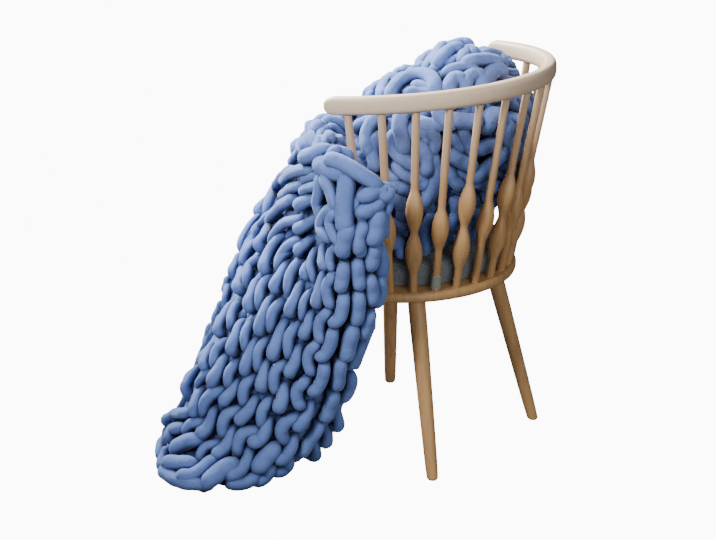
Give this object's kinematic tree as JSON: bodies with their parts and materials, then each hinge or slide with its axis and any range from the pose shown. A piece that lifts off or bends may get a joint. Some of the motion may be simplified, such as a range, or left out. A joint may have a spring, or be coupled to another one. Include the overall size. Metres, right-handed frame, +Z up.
{
  "type": "chunky knit blanket on chair",
  "caption": "Chunky hand-knit blanket of thick stuffed yarn, heaped in a spindle-back tub chair with a seat cushion and falling over its open front to the floor.",
  "frame": {"origin": "on the floor, under the middle of the whole part's box", "axes": "+Z up; the chair's open front faces -Y and the blanket falls over its near side towards +X and -Y"},
  "size_m": [0.867, 0.6498, 0.8691],
  "materials": {
    "yarn": "matte brushed jersey tube yarn",
    "rail_wood": "satin, pale",
    "leg_wood": "satin",
    "cushion_cloth": "matte felted weave",
    "loop_webbing": "matte webbing"
  },
  "bodies": {
    "root": {"blanket": "yarn", "rail": "rail_wood", "seat_plate": "leg_wood", "spindle_01": "leg_wood", "spindle_02": "leg_wood", "spindle_03": "leg_wood", "spindle_04": "leg_wood", "spindle_05": "leg_wood", "spindle_06": "leg_wood", "spindle_07": "leg_wood", "spindle_08": "leg_wood", "spindle_09": "leg_wood", "spindle_10": "leg_wood", "spindle_11": "leg_wood", "spindle_12": "leg_wood", "spindle_13": "leg_wood", "leg_near_front": "leg_wood", "leg_near_back": "leg_wood", "leg_far_front": "leg_wood", "leg_far_back": "leg_wood", "cushion": "cushion_cloth", "cushion_loop_1": "loop_webbing", "cushion_loop_2": "loop_webbing"}
  },
  "joints": []
}
